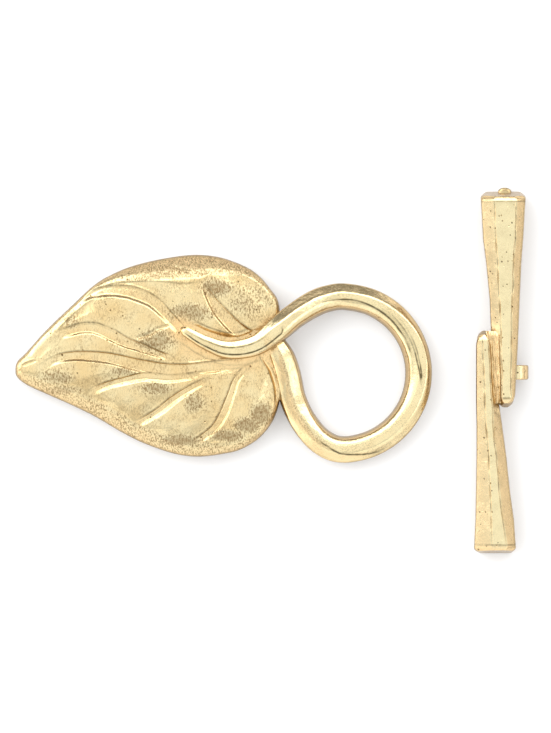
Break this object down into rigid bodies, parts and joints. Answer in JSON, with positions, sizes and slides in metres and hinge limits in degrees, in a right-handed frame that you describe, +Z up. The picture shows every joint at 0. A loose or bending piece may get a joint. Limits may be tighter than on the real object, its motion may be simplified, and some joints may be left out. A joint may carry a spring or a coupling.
{
  "type": "toggle clasp",
  "caption": "Cast leaf toggle clasp: a cupped veined leaf whose stem loops into the ring, and a bar of two tapered wedges, each with a plain loop behind.",
  "frame": {"origin": "middle of the two halves' common outline, on the surface that they lie on", "axes": "+X from the leaf's tip to the bar, +Y along the bar towards its end with the casting nub, +Z up out of the leaf's face"},
  "size_m": [0.0614, 0.0438, 0.0056],
  "materials": {
    "gold_plate": "matt gold plate over cast brass, polished on the high places"
  },
  "bodies": {
    "root": {"leaf_ring": "gold_plate", "toggle_bar": "gold_plate"}
  },
  "joints": []
}
